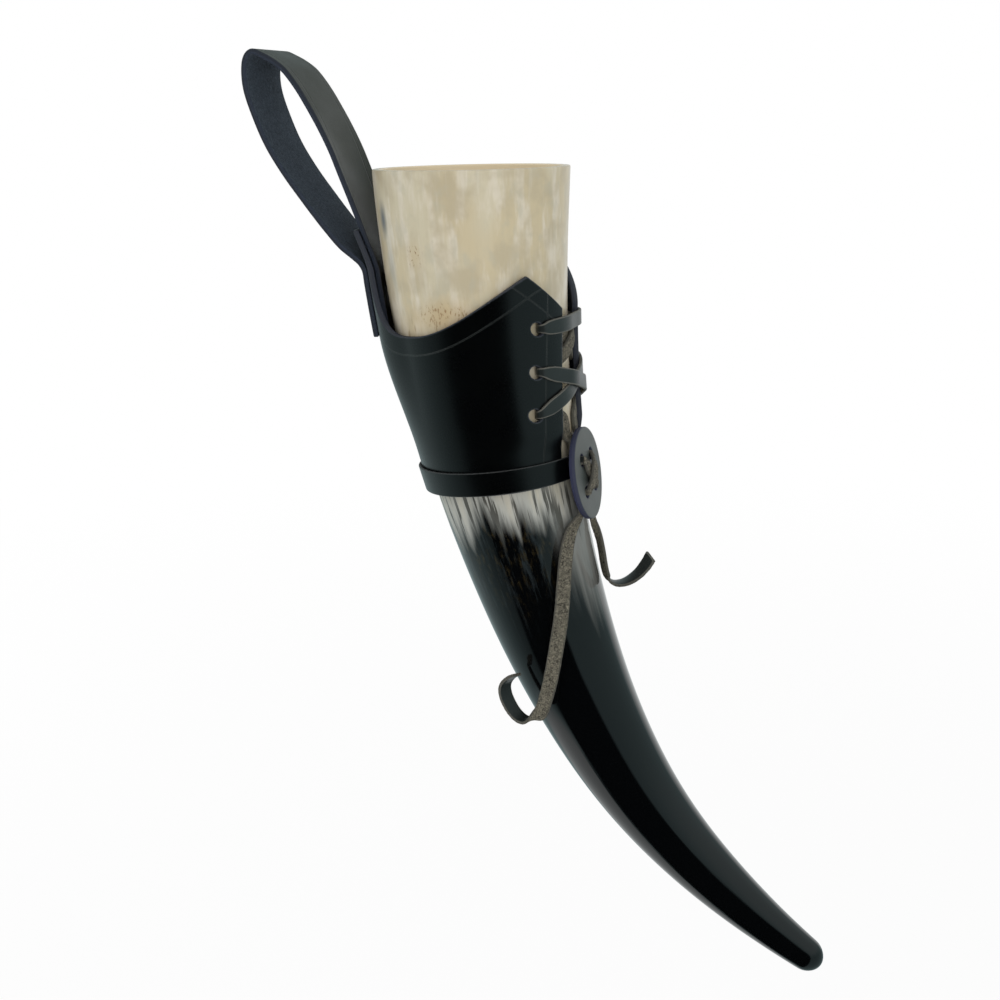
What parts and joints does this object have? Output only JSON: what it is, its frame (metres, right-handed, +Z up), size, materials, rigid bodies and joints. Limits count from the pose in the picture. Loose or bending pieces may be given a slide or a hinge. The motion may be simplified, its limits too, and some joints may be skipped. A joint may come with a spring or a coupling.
{
  "type": "drinking horn in a laced leather holster",
  "caption": "Curved drinking horn that slides into an open-fronted leather holster with a laced front, a disc lace lock and a riveted belt loop.",
  "frame": {"origin": "inside of the belt loop's crest, where a belt carries the holster, in the middle of the strap's width", "axes": "+Z up along the mouth's axis, +X to the front where the holster is laced and the horn curves, +Y to the side"},
  "size_m": [0.2367, 0.074, 0.3773],
  "materials": {
    "horn": "polished natural horn, ivory at the mouth with pale streaks that run out into glossy black",
    "holster_leather": "black satin grain, navy flesh side",
    "band_leather": "black satin",
    "strap_leather": "black satin grain with two crease lines, blue-grey suede flesh side",
    "rivet_brass": "aged brass",
    "lace_leather": "dark grey satin grain, warm grey fuzzy flesh side",
    "disc_leather": "slate-grey satin face, dark blue edge"
  },
  "bodies": {
    "holster_body": {"holster": "holster_leather", "foot_band": "band_leather", "belt_strap": "strap_leather", "rivet_caps": "rivet_brass", "rivet_posts": "rivet_brass", "lace": "lace_leather"},
    "horn_body": {"horn": "horn"},
    "lace_lock": {"lock_disc": "disc_leather", "lock_lace": "lace_leather", "lace_tail_left": "lace_leather", "lace_tail_right": "lace_leather"}
  },
  "joints": [
    {"name": "horn_draw", "type": "hinge", "parent": "holster_body", "child": "horn_body", "pos_m": [0.5424, 0, -0.0444], "axis": [0, 1, 0], "range_deg": [0, 45]},
    {"name": "disc_swing", "type": "hinge", "parent": "holster_body", "child": "lace_lock", "pos_m": [0.1258, -0.003, -0.1461], "axis": [0, -1, 0], "range_deg": [0, 60]}
  ]
}
